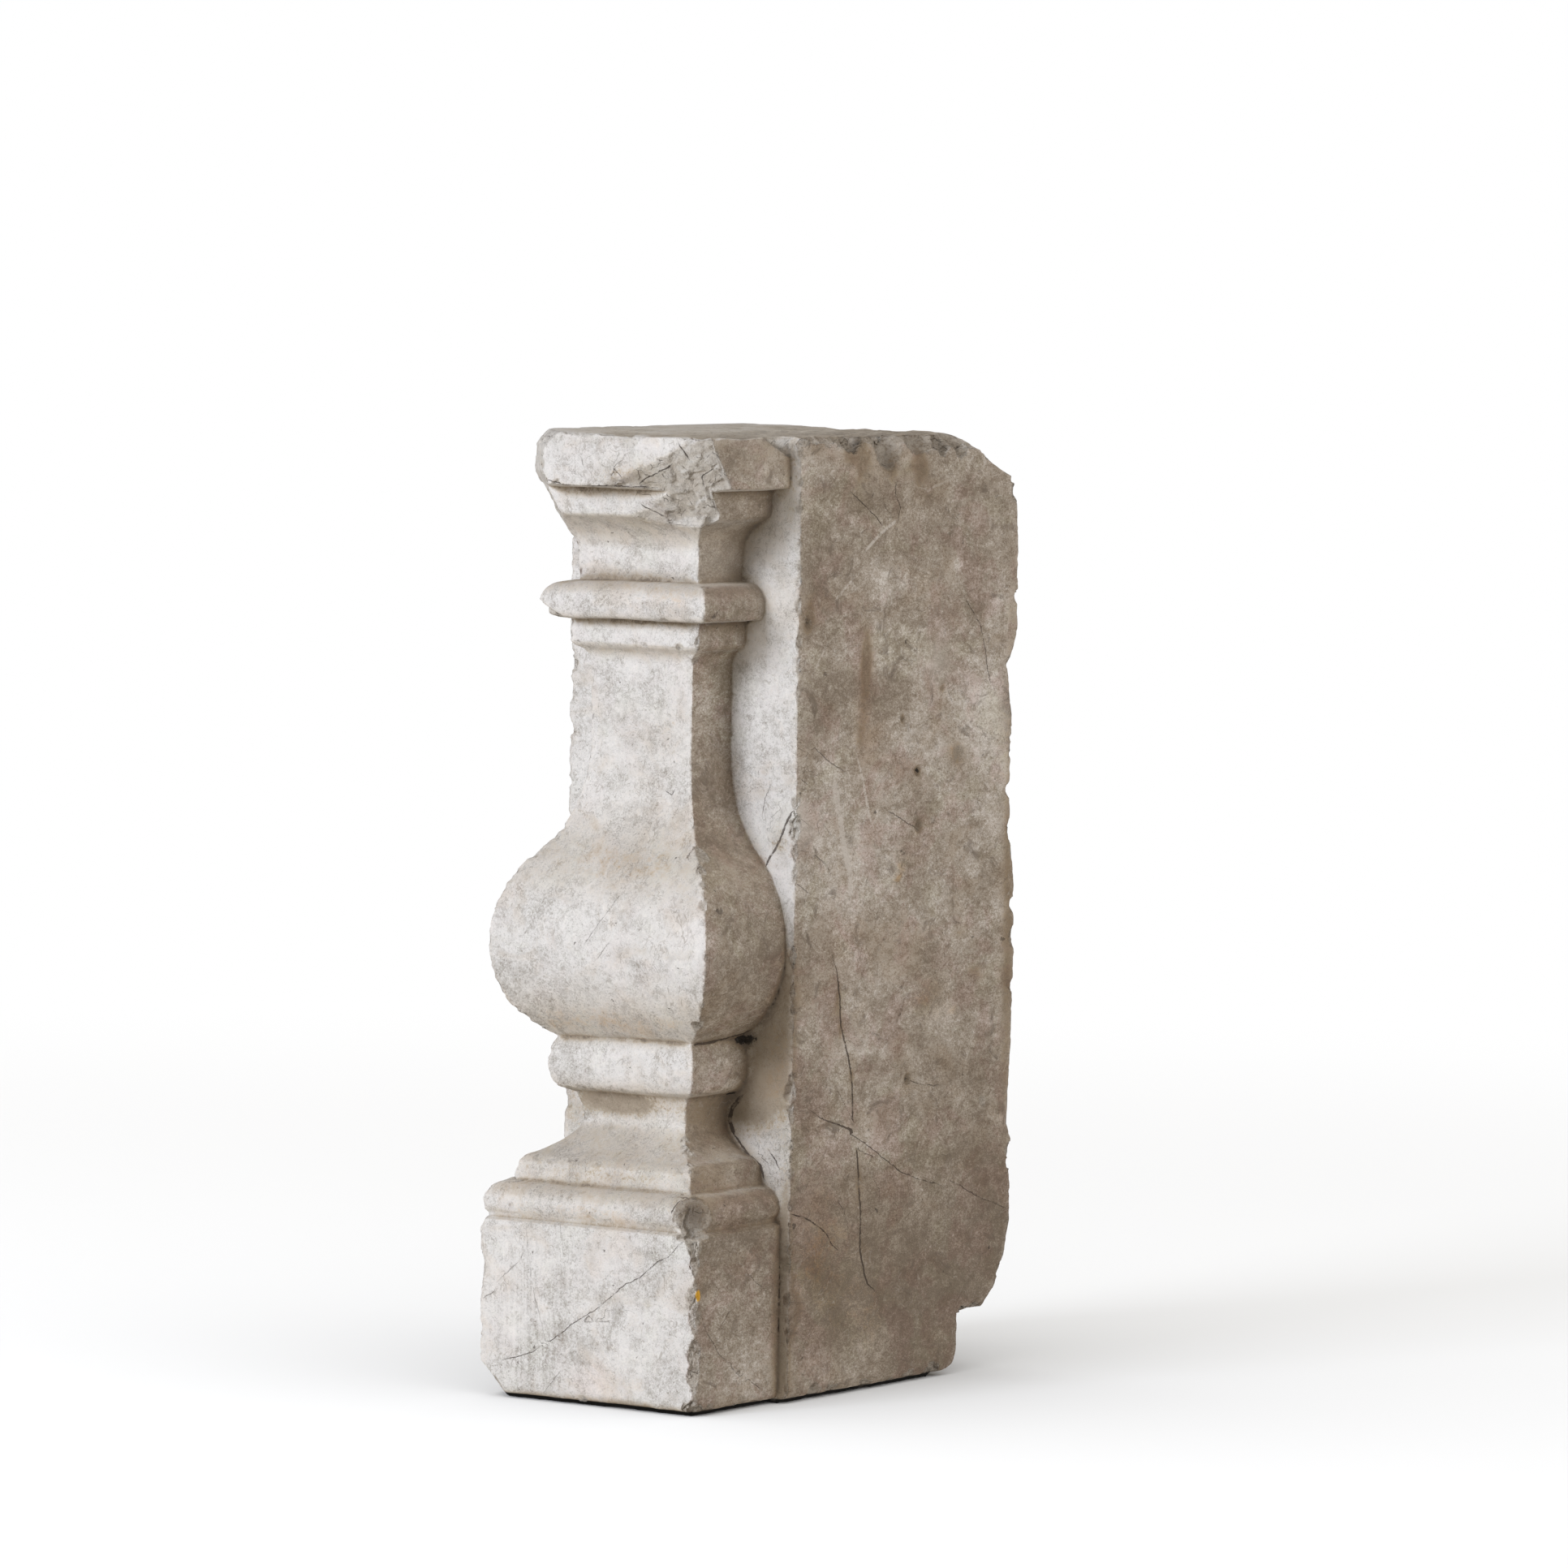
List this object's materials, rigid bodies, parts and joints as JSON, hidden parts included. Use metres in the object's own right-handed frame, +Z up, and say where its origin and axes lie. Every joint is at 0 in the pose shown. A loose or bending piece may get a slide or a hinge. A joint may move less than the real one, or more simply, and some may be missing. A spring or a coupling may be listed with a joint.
{
  "type": "stone half-baluster pilaster",
  "caption": "Engaged half of a square stone baluster, carved in one piece with a rough wall block behind it; stands on its underside and carries a rail or coping on its top bed.",
  "frame": {"origin": "middle of the box around the piece, at its underside", "axes": "+Z up the pilaster; the baluster faces -Y and the wall block runs back along +Y; +X is the flat, shaded side of the block"},
  "size_m": [0.2036, 0.3984, 0.702],
  "materials": {
    "limestone": "weathered, tooled and chipped, matt"
  },
  "bodies": {
    "root": {"stone_pilaster": "limestone"}
  },
  "joints": []
}
